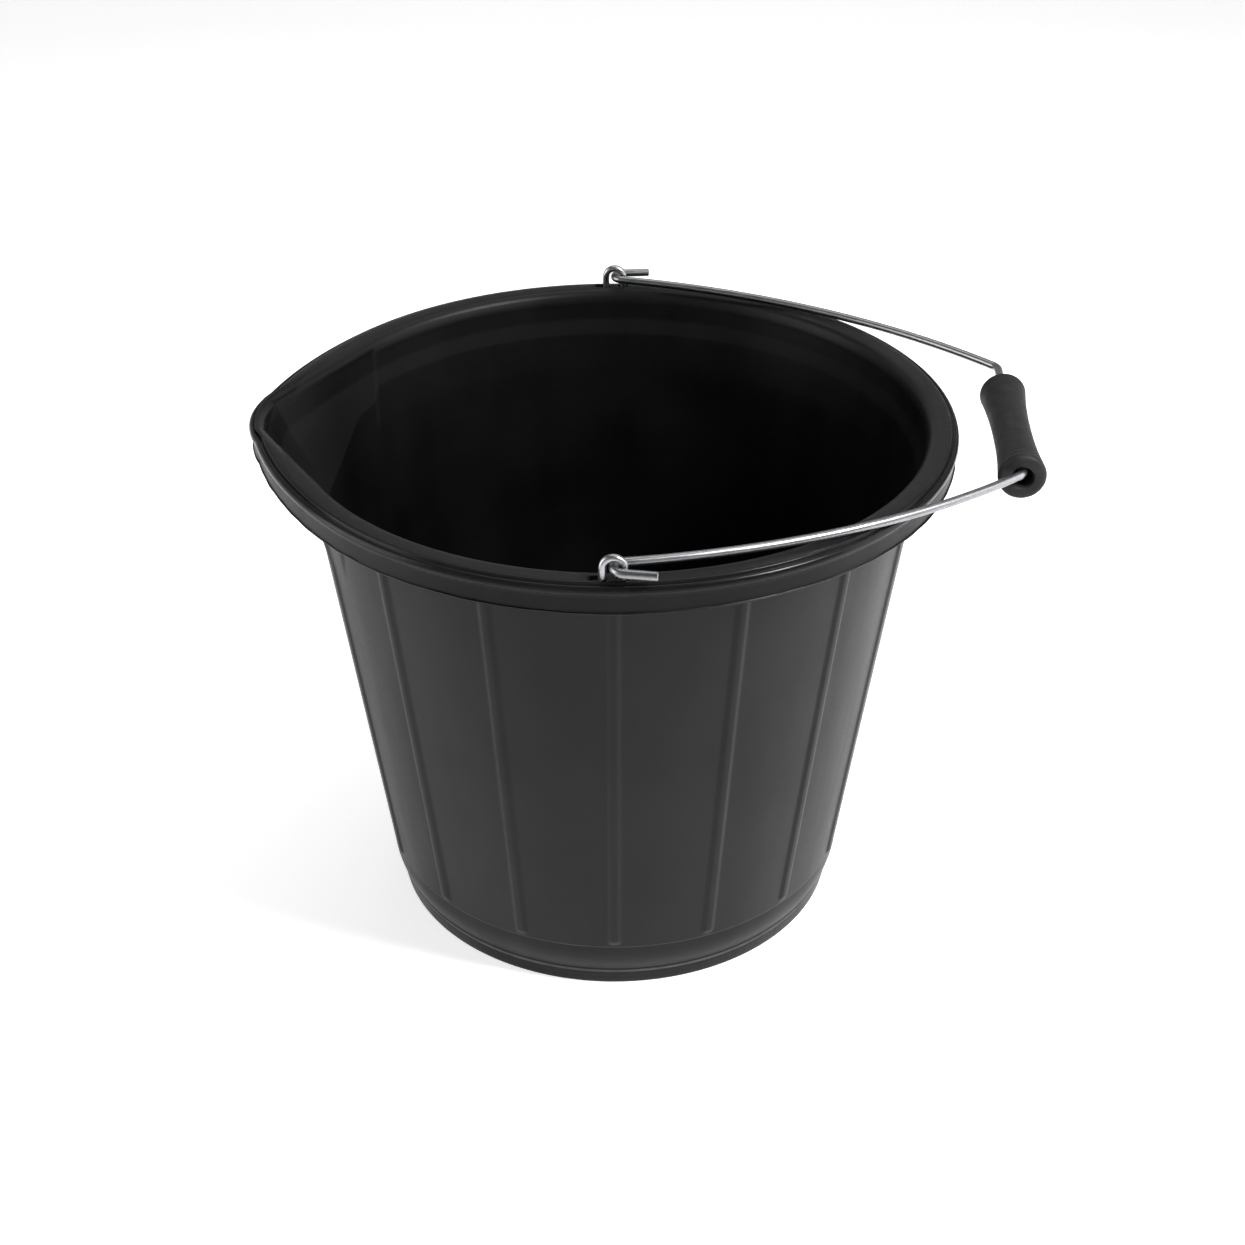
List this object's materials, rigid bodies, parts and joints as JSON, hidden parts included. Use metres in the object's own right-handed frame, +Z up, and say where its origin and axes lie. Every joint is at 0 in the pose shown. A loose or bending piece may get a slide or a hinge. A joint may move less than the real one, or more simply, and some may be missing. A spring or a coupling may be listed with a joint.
{
  "type": "pouring bucket with wire bail and tube grip",
  "caption": "Ribbed plastic bucket with a turned-over rim and pouring lip, a wire bail hooked into wire ears, and a waisted tube grip that turns on the wire.",
  "frame": {"origin": "on the bucket's axis, in the plane that the foot ring stands on", "axes": "+Z up along the bucket's axis; the pouring lip points to -X and the bail lies on the rim at +X; the ears are at -Y and +Y"},
  "size_m": [0.372, 0.3288, 0.2675],
  "materials": {
    "shell": "moulded, satin sheen",
    "ear_wire": "galvanised",
    "bail_wire": "bright galvanised",
    "grip": "moulded, matt"
  },
  "bodies": {
    "bucket": {"bucket_body": "shell", "front_ear": "ear_wire", "back_ear": "ear_wire"},
    "bail": {"bail_wire": "bail_wire"},
    "grip": {"hand_grip": "grip"}
  },
  "joints": [
    {"name": "bail_hinge", "type": "hinge", "parent": "bucket", "child": "bail", "pos_m": [0, 0, 0.2612], "axis": [0, -1, 0], "range_deg": [0, 182]},
    {"name": "grip_spin", "type": "hinge", "parent": "bail", "child": "grip", "pos_m": [0.18595, -0.01897, 0.25406], "axis": [0.0523, 0.9986, -0.0013], "continuous": true}
  ]
}
